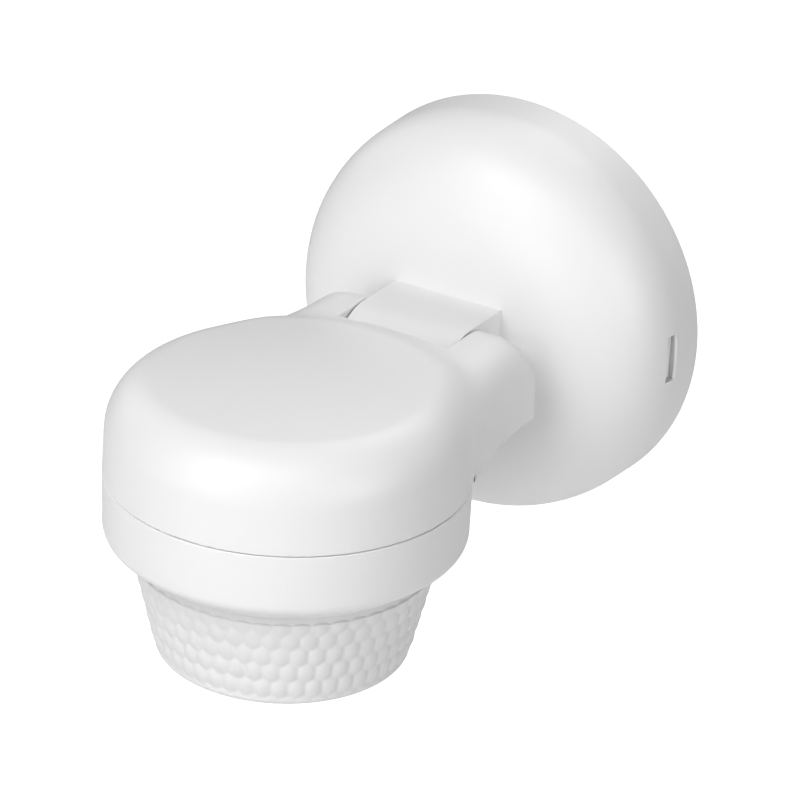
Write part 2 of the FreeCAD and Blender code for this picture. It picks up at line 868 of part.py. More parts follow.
def notch(grow):
    """The room in the head for the knuckle, seen from the side as a slot with a round end."""
    half = value_of(S.knuckle_half + S.knuckle_gap) + grow
    radius = value_of(S.knuckle_radius + S.hinge_gap) + grow
    y, z = value_of(S.hinge_y), value_of(S.hinge_z)
    front = value_of(S.notch_front) - grow
    back = value_of(S.neck_rear) + 5
    high, low = value_of(S.neck_top) + 15, value_of(S.neck_bottom) - 10
    nose = plain_rod(radius, V(-half, y, z), V(half, y, z))
    behind = plain_box((-half, half), (y, back), (low, high))
    above = plain_box((-half, half), (front, back), (z, high))
    return nose.fuse([behind, above]).removeSplitter()


def ring_room():
    """The cylinder that the neck leaves free for the lens ring to turn in."""
    radius = value_of(S.head_radius + S.ring_slip)
    low = value_of(S.neck_bottom) - 10
    return Part.makeCylinder(radius, value_of(S.seam_z) - low, V(0, value_of(S.head_y), low))


LEDGE_Z = -4.0
BOARD_SCREW_START = 90.0
FLOOR_START = -79.5
LEDGE_THICK = 1.5
LEDGE_INNER = 36.2


def build_head_cap():
    wall = value_of(S.wall)
    seam, bottom = value_of(S.seam_z), value_of(S.neck_bottom)
    head_y = value_of(S.head_y)
    outer = round_head(0.0, seam).fuse(neck_block(0.0, bottom).cut(ring_room()))
    hollow = round_head(wall, seam - 1).fuse(neck_block(wall, bottom - 1))
    shell = outer.cut(hollow.cut(notch(wall)))
    chassis_top = value_of(S.seam_z + S.chassis_thick)
    posts = []
    hole_radius = value_of(S.small_screw_radius + S.running_gap)
    spots = [(x, y) for x, y, _ in around(3, S.chassis_screw_ring, 90.0, S.head_y)]
    spots += [(side * value_of(S.neck_screw_x), value_of(S.neck_screw_y)) for side in (-1, 1)]
    for x, y in spots:
        post = plain_rod(2.6, V(x, y, chassis_top), V(x, y, value_of(S.head_crown_z)))
        hole = plain_rod(hole_radius, V(x, y, chassis_top), V(x, y, chassis_top + BORE_DEPTH))
        posts.append(post.cut(hole))
    centre = V(0, head_y, LEDGE_Z)
    ledge = Part.makeCylinder(value_of(S.head_radius), LEDGE_THICK, centre)
    ledge = ledge.cut(Part.makeCylinder(LEDGE_INNER, LEDGE_THICK, centre))
    ledge = ledge.cut(plain_box((-BEYOND, BEYOND), (head_y + 20, 0), (LEDGE_Z - 1, LEDGE_Z + 3)))
    shell = shell.fuse([item.common(outer) for item in posts + [ledge]])
    bush = hinge_bores(value_of(S.bush_radius) - 0.4, value_of(S.neck_half) - wall - 1)
    return solid("head_cap", shell.cut([notch(0.0), bush]).removeSplitter())


def build_head_chassis():
    """The plate that closes the cap from below, with the bayonet collar and board standoffs."""
    wall, slip = value_of(S.wall), 0.15
    seam, bottom, head_y = value_of(S.seam_z), value_of(S.neck_bottom), value_of(S.head_y)
    top = seam + value_of(S.chassis_thick)
    floor = neck_block(wall + slip, bottom)
    floor = floor.common(plain_box((-BEYOND, BEYOND), (FLOOR_START, 0), (bottom, top)))
    pocket = neck_block(wall + slip + 2, bottom + 2)
    pocket = pocket.common(plain_box((-BEYOND, BEYOND), (-54, 0), (bottom + 2, top)))
    floor = floor.cut([ring_room(), notch(wall + slip), pocket])
    centre = V(0, head_y, seam)
    disc = Part.makeCylinder(value_of(S.chassis_radius), value_of(S.chassis_thick), centre)
    disc = disc.cut(notch(wall + slip))
    collar_end = value_of(S.collar_end_z)
    foot = V(0, head_y, collar_end)
    collar = Part.makeCylinder(value_of(S.collar_radius), seam - collar_end, foot)
    collar = collar.cut(
        Part.makeCylinder(value_of(S.collar_radius - S.collar_wall), seam - collar_end, foot)
    )
    plate = floor.fuse([disc, collar] + collar_lugs())
    stand_high = value_of(S.sensor_board_z)
    stands = [
        plain_rod(2.5, V(x, y, top), V(x, y, stand_high))
        for x, y, _ in around(3, S.board_screw_ring, BOARD_SCREW_START, S.head_y)
    ]
    plate = plate.fuse(stands)
    hole_radius = value_of(S.small_screw_radius + S.running_gap)
    holes = [
        plain_rod(hole_radius, V(x, y, top - 1), V(x, y, stand_high))
        for x, y, _ in around(3, S.board_screw_ring, BOARD_SCREW_START, S.head_y)
    ]
    for x, y, _ in around(3, S.chassis_screw_ring, 90.0, S.head_y):
        holes.append(plain_rod(hole_radius, V(x, y, seam), V(x, y, top)))
    for side in (-1, 1):
        x, y = side * value_of(S.neck_screw_x), value_of(S.neck_screw_y)
        holes.append(plain_rod(hole_radius, V(x, y, bottom), V(x, y, top)))
        holes.append(plain_rod(3.0, V(x, y, bottom), V(x, y, bottom + 1.8)))
    for x, y in dial_spots():
        holes.append(plain_rod(value_of(S.dial_shaft + S.running_gap), V(x, y, seam), V(x, y, top)))
    wire_hole = plain_rod(5.0, V(0, head_y, seam), V(0, head_y, top))
    return solid("head_chassis", plate.cut(holes + [wire_hole]).removeSplitter())


def lug_ring(inner, outer, low, thick, start):
    """Three short arcs of a ring about the head's axis."""
    angle = value_of(S.lug_angle)
    lugs = []
    for index in range(3):
        sector = Part.makeCylinder(outer, thick, V(0, 0, low), V(0, 0, 1), angle)
        sector = sector.cut(Part.makeCylinder(inner, thick, V(0, 0, low)))
        sector.rotate(V(0, 0, 0), V(0, 0, 1), start + index * 120 - angle / 2)
        sector.translate(V(0, value_of(S.head_y), 0))
        lugs.append(sector)
    return lugs


LUG_START = 30.0
COLLAR_LUG_TOP = -10.2


def collar_lugs():
    inner = value_of(S.collar_radius) - 0.5
    thick = value_of(S.lug_thick)
    return lug_ring(inner, value_of(S.chassis_radius) - 0.1, COLLAR_LUG_TOP - thick, thick, LUG_START)


def dial_spots():
    """The three setting dials sit on an arc at the front of the chassis."""
    radius = value_of(S.dial_ring)
    for angle in (-130.0, -90.0, -50.0):
        x = radius * math.cos(math.radians(angle))
        yield x, value_of(S.head_y) + radius * math.sin(math.radians(angle))


def upright_screw(name, x, y, head_low, shank_high):
    """A pan-head screw driven upwards."""
    head_high = head_low + value_of(S.small_head_thick)
    head = rod(f"{name}_head", "z", S.small_head_radius, head_low, head_high, (x, y))
    shank = rod(f"{name}_shank", "z", S.small_screw_radius, head_high, shank_high, (x, y))
    slot = box(f"{name}_slot", (x - 2.7, x + 2.7), (y - 0.4, y + 0.4), (head_low, head_low + 0.7))
    return cut(name, fuse(f"{name}_body", head, shank), slot)


def build_chassis_screws():
    low = value_of(S.seam_z - S.small_head_thick)
    screws = [
        upright_screw(f"chassis_screw_{number}", x, y, low, value_of(S.seam_z) + 6.5)
        for number, (x, y, _) in enumerate(around(3, S.chassis_screw_ring, 90.0, S.head_y))
    ]
    return group("chassis_screws", screws)


def build_neck_screws():
    low = value_of(S.neck_bottom) + 1.8 - value_of(S.small_head_thick)
    screws = [
        upright_screw(
            f"neck_screw_{tag}", side * value_of(S.neck_screw_x), value_of(S.neck_screw_y), low, -1.0
        )
        for side, tag in ((-1, "left"), (1, "right"))
    ]
    return group("neck_screws", screws)


def build_sensor_board_screws():
    top = value_of(S.sensor_board_z + S.board_thick)
    screws = []
    for number, (x, y, _) in enumerate(around(3, S.board_screw_ring, BOARD_SCREW_START, S.head_y)):
        head = rod(
            f"sensor_screw_{number}_head", "z", S.small_head_radius, top,
            top + value_of(S.small_head_thick), (x, y),
        )
        shank = rod(f"sensor_screw_{number}_shank", "z", S.small_screw_radius, top - 4.6, top, (x, y))
        slot = box(
            f"sensor_screw_{number}_slot", (x - 2.7, x + 2.7), (y - 0.4, y + 0.4), (top + 0.9, top + 1.6)
        )
        screws.append(
            cut(f"sensor_screw_{number}", fuse(f"sensor_screw_{number}_body", head, shank), slot)
        )
    return group("sensor_board_screws", screws)


def build_head_gasket():
    """A flat seal between the chassis rim and the cap's ledge, open where the neck begins."""
    top = value_of(S.seam_z + S.chassis_thick)
    ring = Part.makeCylinder(value_of(S.chassis_radius), LEDGE_Z - top, V(0, value_of(S.head_y), top))
    hole = Part.makeCylinder(LEDGE_INNER, LEDGE_Z - top, V(0, value_of(S.head_y), top))
    neck = plain_box((-BEYOND, BEYOND), (value_of(S.head_y) + 20, 0), (top, LEDGE_Z))
    return solid("head_gasket", ring.cut([hole, neck]))


def build_sensor_board():
    low = S.sensor_board_z
    high = low + S.board_thick
    disc = rod("sensor_disc", "z", S.sensor_board_radius, low, high, (0, S.head_y))
    cuts = []
    for number, (x, y, _) in enumerate(around(3, S.board_screw_ring, BOARD_SCREW_START, S.head_y)):
        cuts.append(rod(f"sensor_hole_{number}", "z", 1.5, low, high, (x, y)))
    for number, (x, y, _) in enumerate(around(3, S.chassis_screw_ring, 90.0, S.head_y)):
        cuts.append(rod(f"post_hole_{number}", "z", 2.9, low, high, (x, y)))
    return cut("sensor_board", disc, *cuts)


PIR_SIDES = {"pir_front": -90.0, "pir_right": 30.0, "pir_left": 150.0}


def build_sensor_tower():
    """The post that holds the three detectors at the middle of the lens."""
    tower = DOC.addObject("Part::Cone", "tower_cone")
    bind(tower, "Radius1", S.tower_end_radius)
    bind(tower, "Radius2", S.tower_radius)
    bind(tower, "Height", S.seam_z - S.tower_end_z)
    place(tower, 0, S.head_y, S.tower_end_z)
    cuts = [rod("tower_bore", "z", 5.0, S.tower_end_z + 3.0, S.seam_z, (0, S.head_y))]
    for name, angle in PIR_SIDES.items():
        block = DOC.addObject("Part::Box", f"{name}_flat")
        block.Length = 10
        block.Width = 30
        bind(block, "Height", S.pir_z - S.tower_end_z + S.pir_radius + 1.5)
        turn = FreeCAD.Rotation(V(0, 0, 1), angle)
        shift = turn.multVec(V(value_of(S.tower_flat), -15, 0))
        corner = V(shift.x, value_of(S.head_y) + shift.y, value_of(S.tower_end_z))
        block.Placement = FreeCAD.Placement(corner, turn)
        cuts.append(block)
    return cut("sensor_tower", tower, *cuts)


def build_pir(name):
    """A metal can with a flanged foot and a window, facing out from the tower."""
    angle = PIR_SIDES[name]
    reach = S.pir_length
    radius = S.pir_radius
    corners = [
        (0, 0),
        (radius + 0.5, 0),
        (radius + 0.5, 0.6),
        (radius, 0.6),
        (radius, reach - 0.5),
        (radius - 0.5, reach),
        (radius * 0.62, reach),
        (radius * 0.62, reach - 0.3),
        (0, reach - 0.3),
    ]
    body = turned(name, "XZ_Plane", corners)
    out = FreeCAD.Rotation(V(0, 0, 1), angle)
    tip = FreeCAD.Rotation(V(0, 1, 0), 90)
    spot = out.multVec(V(value_of(S.tower_flat), 0, 0))
    body.Placement = FreeCAD.Placement(
        V(spot.x, value_of(S.head_y) + spot.y, value_of(S.pir_z)), out.multiply(tip)
    )
    return body


def lamp(name, x, radius, length):
    """A small domed light part hanging from the tower's foot."""
    steps = (0, 30, 60)
    corners = [(0, 0), (radius, 0)]
    corners += [
        (radius * math.cos(math.radians(step)), -(length - radius) - radius * math.sin(math.radians(step)))
        for step in steps
    ]
    corners.append((0, -length))
    return turned(name, "XZ_Plane", corners, (x, S.head_y, S.tower_end_z))


def build_light_sensor():
    return lamp("light_sensor", -4.0, 2.5, 4.0)


def build_status_led():
    return lamp("status_led", 4.0, 1.5, 4.5)


def build_setting_pots():
    low, high = value_of(S.seam_z + S.chassis_thick), value_of(S.sensor_board_z)
    pots = []
    for number, (x, y) in enumerate(dial_spots()):
        case = box(f"pot_case_{number}", (x - 3.5, x + 3.5), (y - 3.5, y + 3.5), (low + 0.1, high))
        hole = rod(f"pot_hole_{number}", "z", S.dial_shaft + S.running_gap, low + 0.1, high, (x, y))
        pots.append(cut(f"pot_{number}", case, hole))
    return group("setting_pots", pots)


def build_dial(name, spot):
    """A slotted knob with a thumb edge and a shaft that reaches up into its potentiometer."""
    x, y = spot
    low = S.dial_face_z
    high = low + S.dial_thick
    knob = rod(f"{name}_knob", "z", S.dial_radius, low, high, (x, y))
    hub = rod(f"{name}_hub", "z", S.dial_radius * 0.6, high, high + 1.5, (x, y))
    shaft = rod(f"{name}_shaft", "z", S.dial_shaft, high, S.sensor_board_z - 0.3, (x, y))
    slot = box(f"{name}_slot", (x - 3.2, x + 3.2), (y - 0.5, y + 0.5), (low, low + 1.3))
    pointer = box(f"{name}_pointer", (x - 0.4, x + 0.4), (y + 2.6, y + 4.6), (low, low + 0.5))
    grips = []
    for number, (gx, gy, _) in enumerate(around(12, S.dial_radius, 15.0)):
        grips.append(rod(f"{name}_grip_{number}", "z", 0.45, low, high, (x + gx, y + gy)))
    return cut(name, fuse(f"{name}_body", knob, hub, shaft), slot, pointer, *grips)


def build_microcontroller():
    high = S.sensor_board_z + S.board_thick
    return box("microcontroller", (-3.5, 3.5), (-100.0, -93.0), (high, high + 1.4))


CONNECTOR_BACK = -74.0


def build_head_connector():
    high = S.sensor_board_z + S.board_thick
    case = box("connector_case", (6.0, 16.0), (CONNECTOR_BACK - 6, CONNECTOR_BACK), (high, high + 6.0))
    mouth = (CONNECTOR_BACK - 5, CONNECTOR_BACK - 1)
    socket = box("connector_socket", (7.2, 14.8), mouth, (high + 4.6, high + 6.0))
    return cut("head_connector", case, socket)


EAR_LANE = 23.4
NECK_LANE = 19.6
EAR_BEND = 2.4
CABLE_TOP_Z = 2.4


def build_head_cable():
    """From the axle's open end, through the right ear, past its screw post, to the connector."""
    y, z = value_of(S.hinge_y), value_of(S.hinge_z)
    end_x = 11.0
    points = [
        V(value_of(S.axle_half) + 0.3, y, z),
        V(EAR_LANE, y, z),
        V(EAR_LANE, -50.0, z),
        V(NECK_LANE, -57.0, z),
        V(NECK_LANE, -62.5, z + 2.0),
        V(end_x, -70.0, CABLE_TOP_Z),
        V(end_x, CONNECTOR_BACK, CABLE_TOP_Z),
    ]
    return solid("head_cable", bent_rod(points, value_of(S.cable_radius), EAR_BEND))


# Lens assembly

def build_lens_ring():
    top = S.seam_z - S.seam_gap
    bore = S.head_radius - S.wall
    opening = S.lens_radius + S.lens_gap
    corners = [
        (bore, top),
        (S.head_radius, top),
        (S.ring_bottom_radius, S.ring_round_z),
        (S.ring_bottom_radius - 0.45, S.ring_round_z - 1.0),
        (S.lip_radius, S.lip_z),
        (opening, S.lip_end_z),
        (opening, S.lens_seat_z),
        (S.lens_flange_radius + 0.1, S.lens_seat_z),
        (bore - 0.1, S.lens_seat_z + 1.0),
    ]
    shell = turned("ring_shell", "XZ_Plane", corners, (0, S.head_y, 0))
    inner = value_of(S.collar_radius) + 0.3
    lugs = lug_ring(inner, value_of(bore) + 0.3, COLLAR_LUG_TOP + 0.1, value_of(S.lug_thick), LUG_START)
    catches = [solid(f"ring_lug_{number}", lug) for number, lug in enumerate(lugs)]
    return fuse("lens_ring", shell, *catches)


def build_lens():
    """A thin cup: flange, short plain band, long taper and a closed bottom."""
    thick = S.lens_wall
    high = S.lens_seat_z + S.lens_flange_thick
    corners = [
        (S.lens_radius - thick, high),
        (S.lens_flange_radius, high),
        (S.lens_flange_radius, S.lens_seat_z),
        (S.lens_radius, S.lens_seat_z),
        (S.lens_radius, S.lens_band_z),
        (S.lens_toe_radius, S.lens_toe_z),
        (S.lens_end_radius, S.lens_end_z),
        (0, S.lens_end_z),
        (0, S.lens_end_z + thick),
        (S.lens_end_radius - thick * 0.6, S.lens_end_z + thick),
        (S.lens_toe_radius - thick, S.lens_toe_z + 0.2),
        (S.lens_radius - thick, S.lens_band_z),
    ]
    return turned("lens", "XZ_Plane", corners, (0, S.head_y, 0))


def build_lens_retainer():
    low = S.lens_seat_z + S.lens_flange_thick
    return tube(
        "lens_retainer", "z", S.head_radius - S.wall - 0.2, S.retainer_inner, low,
        low + S.retainer_thick, (0, S.head_y),
    )


def build_ring_gasket():
    low = Size(COLLAR_LUG_TOP + 0.15, repr(COLLAR_LUG_TOP + 0.15)) + S.lug_thick
    return tube(
        "ring_gasket", "z", S.head_radius - S.wall - 0.2, S.collar_radius + 0.15, low,
        S.seam_z - 0.05, (0, S.head_y),
    )


DIAL_NAMES = ["time_dial", "lux_dial", "range_dial"]


def build_everything():
    nodes = [
        build_base_cover(),
        build_base_plate(),
        build_wall_seal(),
        build_cable_grommet(),
        build_terminal_block(),
        build_terminal_screws(),
        build_supply_leads(),
        build_power_board(),
        build_board_screws(),
        build_relay(),
        build_suppression_capacitor(),
        build_board_socket(),
        build_storage_capacitor(),
        build_varistor(),
        build_fuse(),
        build_hinge_axle(),
        build_axle_clips(),
        build_hinge_seals(),
        build_base_cable(),
        build_release_latch(),
        build_head_cap(),
        build_ear_bushes(),
        build_friction_washers(),
        build_head_chassis(),
        build_chassis_screws(),
        build_neck_screws(),
        build_sensor_board_screws(),
        build_head_gasket(),
        build_sensor_board(),
        build_sensor_tower(),
        build_light_sensor(),
        build_status_led(),
        build_setting_pots(),
        build_microcontroller(),
        build_head_connector(),
        build_head_cable(),
        build_lens_ring(),
        build_lens(),
        build_lens_retainer(),
        build_ring_gasket(),
    ]
    nodes += [build_pir(name) for name in PIR_SIDES]
    nodes += [build_dial(name, spot) for name, spot in zip(DIAL_NAMES, dial_spots())]
    return nodes


def check_document():
    broken = [
        item.Name for item in DOC.Objects if "Invalid" in item.State or "Error" in item.State
    ]
    if broken:
        raise RuntimeError(f"features that failed: {broken}")


def check_solids(node):
    shape = node.Shape
    if shape.isNull() or not shape.isValid() or not shape.Solids:
        raise RuntimeError(f"{node.Label} isn't a valid solid")


def write_steps(nodes):
    os.makedirs("parts", exist_ok=True)
    for node in nodes:
        node.Shape.exportStep(f"parts/{node.Label}.step")


NODES = build_everything()
DOC.recompute()
check_document()
for part_node in NODES:
    check_solids(part_node)
write_steps(NODES)
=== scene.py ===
import json
import math

import bpy
import numpy as np
from mathutils import Matrix, Vector


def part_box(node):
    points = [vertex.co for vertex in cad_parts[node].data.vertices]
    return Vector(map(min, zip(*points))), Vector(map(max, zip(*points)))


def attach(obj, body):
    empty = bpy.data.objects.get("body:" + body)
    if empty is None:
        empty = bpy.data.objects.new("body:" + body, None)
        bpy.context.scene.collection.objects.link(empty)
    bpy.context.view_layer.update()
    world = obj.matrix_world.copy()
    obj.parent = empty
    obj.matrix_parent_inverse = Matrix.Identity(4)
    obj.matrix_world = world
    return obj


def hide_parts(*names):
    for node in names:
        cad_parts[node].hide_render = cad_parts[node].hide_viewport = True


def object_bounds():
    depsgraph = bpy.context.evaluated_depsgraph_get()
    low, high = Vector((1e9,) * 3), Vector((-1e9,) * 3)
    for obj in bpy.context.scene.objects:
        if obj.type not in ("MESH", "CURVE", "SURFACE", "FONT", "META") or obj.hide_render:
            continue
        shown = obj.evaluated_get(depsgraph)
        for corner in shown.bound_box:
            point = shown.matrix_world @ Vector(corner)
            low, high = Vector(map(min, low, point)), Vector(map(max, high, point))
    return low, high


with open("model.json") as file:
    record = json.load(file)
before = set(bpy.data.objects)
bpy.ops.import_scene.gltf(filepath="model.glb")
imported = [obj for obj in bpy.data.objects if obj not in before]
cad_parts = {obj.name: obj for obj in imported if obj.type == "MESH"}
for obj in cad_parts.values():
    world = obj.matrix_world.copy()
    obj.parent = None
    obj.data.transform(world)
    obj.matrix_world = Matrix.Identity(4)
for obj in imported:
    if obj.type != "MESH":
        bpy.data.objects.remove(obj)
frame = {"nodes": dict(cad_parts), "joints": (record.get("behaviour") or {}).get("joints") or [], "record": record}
CAD_LOW, CAD_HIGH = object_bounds()

MM = 0.001


# ---------------------------------------------------------------- sizes, in mm, from the frame

def corners_mm(node):
    """Lowest and highest corner of a CAD node in millimetres."""
    low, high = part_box(node)
    return np.array(low) / MM, np.array(high) / MM


def joint_centre_mm(name):
    joint = next(item for item in frame["joints"] if item["name"] == name)
    return np.array(joint["pos_m"]) / MM


CAP_LOW, CAP_HIGH = corners_mm("head_cap")
RING_LOW, RING_HIGH = corners_mm("lens_ring")
LENS_END_Z = corners_mm("lens")[0][2]
HINGE = joint_centre_mm("head_tilt")
HEAD_Y = (RING_LOW[1] + RING_HIGH[1]) / 2
HEAD_RADIUS = RING_HIGH[0]


# ---------------------------------------------------------------- materials

class Nodes:
    """A short way to write a material's node tree."""

    def __init__(self, name):
        self.material = bpy.data.materials.new(name)
        self.material.use_nodes = True
        self.tree = self.material.node_tree
        self.tree.nodes.clear()
        self.output = self.add("ShaderNodeOutputMaterial")
        self.shader = self.add("ShaderNodeBsdfPrincipled")
        self.link(self.shader, "BSDF", self.output, "Surface")
        self.place = self.add("ShaderNodeTexCoord")

    def add(self, kind, **inputs):
        node = self.tree.nodes.new(kind)
        for name, value in inputs.items():
            node.inputs[name.replace("_", " ")].default_value = value
        return node

    def link(self, start, output, end, name):
        self.tree.links.new(start.outputs[output], end.inputs[name])

    def set(self, **inputs):
        for name, value in inputs.items():
            self.shader.inputs[name.replace("_", " ")].default_value = value

    def noise(self, scale, detail=3.0, stretch=(1, 1, 1)):
        """Noise in the object's own metres; scale is cycles per metre."""
        mapping = self.add("ShaderNodeMapping", Scale=stretch)
        self.link(self.place, "Object", mapping, "Vector")
        noise = self.add("ShaderNodeTexNoise", Scale=scale, Detail=detail)
        self.link(mapping, "Vector", noise, "Vector")
        return noise

    def ramp(self, source, output, low, high, start=0.3, end=0.7):
        ramp = self.add("ShaderNodeValToRGB")
        first, last = ramp.color_ramp.elements
        first.position, first.color = start, low
        last.position, last.color = end, high
        self.link(source, output, ramp, "Fac")
        return ramp

    def bump(self, source, output, strength, distance):
        """Distance is the bump's height in metres."""
        bump = self.add("ShaderNodeBump", Strength=strength, Distance=distance)
        self.link(source, output, bump, "Height")
        self.link(bump, "Normal", self.shader, "Normal")
        return bump


def grey(value):
    return (value, value, value, 1.0)


def tint(colour, factor):
    return tuple(min(1.0, part * factor) for part in colour[:3]) + (1.0,)


def plastic(name, colour, roughness, grain=2600.0, height=0.00003, mottle=0.03, **extra):
    """Moulded plastic: faint colour drift, varied gloss and a fine spark-eroded grain."""
    nodes = Nodes(name)
    drift = nodes.noise(35.0, 4.0)
    shades = nodes.ramp(drift, "Fac", tint(colour, 1 - mottle), tint(colour, 1 + mottle / 2))
    nodes.link(shades, "Color", nodes.shader, "Base Color")
    polish = nodes.noise(420.0, 5.0)
    gloss = nodes.ramp(polish, "Fac", grey(roughness - 0.04), grey(roughness + 0.05))
    nodes.link(gloss, "Color", nodes.shader, "Roughness")
    nodes.bump(nodes.noise(grain, 2.0), "Fac", 0.25, height)
    nodes.set(**extra)
    return nodes.material


def metal(name, colour, roughness, brush=(1, 1, 1), scale=900.0):
    """Plated or turned metal with brush marks along one direction and dull patches."""
    nodes = Nodes(name)
    marks = nodes.noise(scale, 6.0, brush)
    shades = nodes.ramp(marks, "Fac", tint(colour, 0.82), tint(colour, 1.06))
    nodes.link(shades, "Color", nodes.shader, "Base Color")
    patches = nodes.noise(150.0, 3.0)
    gloss = nodes.ramp(patches, "Fac", grey(roughness - 0.06), grey(roughness + 0.12))
    nodes.link(gloss, "Color", nodes.shader, "Roughness")
    nodes.bump(marks, "Fac", 0.35, 0.00002)
    nodes.set(Metallic=1.0)
    return nodes.material


def circuit_board(name):
    """Green solder mask over copper tracks."""
    nodes = Nodes(name)
    voronoi = nodes.add("ShaderNodeTexVoronoi", Scale=210.0)
    voronoi.feature = "DISTANCE_TO_EDGE"
    nodes.link(nodes.place, "Object", voronoi, "Vector")
    tracks = nodes.ramp(voronoi, "Distance", (0.02, 0.20, 0.08, 1), (0.01, 0.10, 0.045, 1), 0.06, 0.10)
    nodes.link(tracks, "Color", nodes.shader, "Base Color")
    nodes.bump(voronoi, "Distance", 0.4, 0.00004)
    nodes.set(Roughness=0.32, Coat_Weight=0.3)
    return nodes.material


def lens_film(name):
    """Milky polyethylene: an opaque pale grey with a faint cloudy drift and a faint grain."""
    nodes = Nodes(name)
    cloud = nodes.noise(60.0, 3.0)
    shades = nodes.ramp(cloud, "Fac", (0.735, 0.735, 0.735, 1), (0.755, 0.755, 0.755, 1))
    nodes.link(shades, "Color", nodes.shader, "Base Color")
    nodes.bump(nodes.noise(1800.0, 2.0), "Fac", 0.15, 0.00002)
    nodes.set(Roughness=0.42)
    return nodes.material


def clear_resin(name, colour):
    nodes = Nodes(name)
    cloud = nodes.noise(300.0, 2.0)
    shades = nodes.ramp(cloud, "Fac", tint(colour, 0.9), tint(colour, 1.0))
    nodes.link(shades, "Color", nodes.shader, "Base Color")
    nodes.set(Roughness=0.08, Transmission_Weight=0.6, IOR=1.5)
    return nodes.material


def rubber(name, value):
    nodes = Nodes(name)
    dust = nodes.noise(500.0, 6.0)
    shades = nodes.ramp(dust, "Fac", grey(value * 0.8), grey(value * 1.25))
    nodes.link(shades, "Color", nodes.shader, "Base Color")
    nodes.bump(dust, "Fac", 0.3, 0.00004)
    nodes.set(Roughness=0.75, Specular_IOR_Level=0.3)
    return nodes.material


MATERIALS = {
    "white_shell": plastic("white_shell", (0.79, 0.79, 0.79), 0.42, mottle=0.006),
    "plate_plastic": plastic("plate_plastic", (0.80, 0.80, 0.79), 0.5, mottle=0.015),
    "dark_plastic": plastic("dark_plastic", (0.035, 0.035, 0.038), 0.45, mottle=0.1),
    "seal_rubber": rubber("seal_rubber", 0.03),
    "lens_film": lens_film("lens_film"),
    "terminal_plastic": plastic("terminal_plastic", (0.62, 0.62, 0.58), 0.5),
    "zinc_steel": metal("zinc_steel", (0.66, 0.68, 0.70), 0.30, (1, 1, 8)),
    "axle_steel": metal("axle_steel", (0.60, 0.60, 0.61), 0.24, (0.05, 1, 1), 2500.0),
    "bush_plastic": plastic("bush_plastic", (0.66, 0.62, 0.50), 0.4),
    "wire_insulation": plastic("wire_insulation", (0.06, 0.12, 0.42), 0.38),
    "cable_jacket": plastic("cable_jacket", (0.05, 0.05, 0.052), 0.5),
    "circuit_board": circuit_board("circuit_board"),
    "relay_plastic": plastic("relay_plastic", (0.03, 0.09, 0.32), 0.28),
    "capacitor_plastic": plastic("capacitor_plastic", (0.72, 0.50, 0.04), 0.3),
    "connector_plastic": plastic("connector_plastic", (0.78, 0.75, 0.66), 0.42),
    "capacitor_sleeve": plastic("capacitor_sleeve", (0.02, 0.022, 0.06), 0.22),
    "varistor_coat": plastic("varistor_coat", (0.03, 0.13, 0.42), 0.2),
    "detector_can": metal("detector_can", (0.74, 0.73, 0.70), 0.18),
    "clear_resin": clear_resin("clear_resin", (0.9, 0.92, 0.95, 1)),
    "led_resin": clear_resin("led_resin", (0.8, 0.06, 0.04, 1)),
    "pot_plastic": plastic("pot_plastic", (0.03, 0.08, 0.26), 0.35),
    "dial_plastic": plastic("dial_plastic", (0.80, 0.25, 0.03), 0.4),
}


def dress_cad_nodes():
    """Every CAD node takes the material of its slot in the record."""
    for row in frame["record"]["subparts"]:
        node = frame["nodes"][row["node"]]
        node.data.materials.clear()
        node.data.materials.append(MATERIALS[row["material_slot"]])


dress_cad_nodes()


# ---------------------------------------------------------------- meshes from fields

CORNERS = [(i, j, k) for i in (0, 1) for j in (0, 1) for k in (0, 1)]


def surface_nets(field, low, high, cell):
    """Vertices and quads of the surface where field(points) is zero; it is negative inside."""
    axes = [np.arange(start, end + cell, cell) for start, end in zip(low, high)]
    grid = np.stack(np.meshgrid(*axes, indexing="ij"), axis=-1)
    values = field(grid.reshape(-1, 3)).reshape(grid.shape[:3])
    inside = values < 0
    cells = tuple(size - 1 for size in values.shape)
    filled = np.zeros(cells, np.int8)
    for i, j, k in CORNERS:
        filled += inside[i:i + cells[0], j:j + cells[1], k:k + cells[2]]
    active = np.argwhere((filled > 0) & (filled < 8))
    total = np.zeros((len(active), 3))
    count = np.zeros(len(active))
    for axis in range(3):
        step = np.eye(3, dtype=int)[axis]
        for offset in CORNERS:
            if offset[axis]:
                continue
            start = active + np.array(offset)
            first = values[tuple(start.T)]
            second = values[tuple((start + step).T)]
            crossing = (first < 0) != (second < 0)
            gap = np.where(crossing, first - second, 1.0)
            share = np.where(crossing, first / gap, 0.0)
            spot = np.array(offset) + share[:, None] * step
            total += np.where(crossing[:, None], spot, 0.0)
            count += crossing
    vertices = np.array(low) + (active + total / count[:, None]) * cell
    number = np.full(cells, -1, np.int64)
    number[tuple(active.T)] = np.arange(len(active))
    quads = []
    for axis in range(3):
        crossing = np.argwhere(inside != np.roll(inside, -1, axis))
        keep = np.all(crossing > 0, axis=1) & np.all(crossing < np.array(cells), axis=1)
        crossing = crossing[keep]
        ring = []
        for second_back, third_back in ((1, 1), (0, 1), (0, 0), (1, 0)):
            spot = crossing.copy()
            spot[:, (axis + 1) % 3] -= second_back
            spot[:, (axis + 2) % 3] -= third_back
            ring.append(number[tuple(spot.T)])
        ring = np.stack(ring, axis=1)
        leaving = inside[tuple(crossing.T)]
        quads.append(np.where(leaving[:, None], ring, ring[:, ::-1]))
    return vertices, np.concatenate(quads)


PROBE = 0.01
FLATTEST = 0.05
TINY = 1e-9
SETTLE_REACH = 0.6


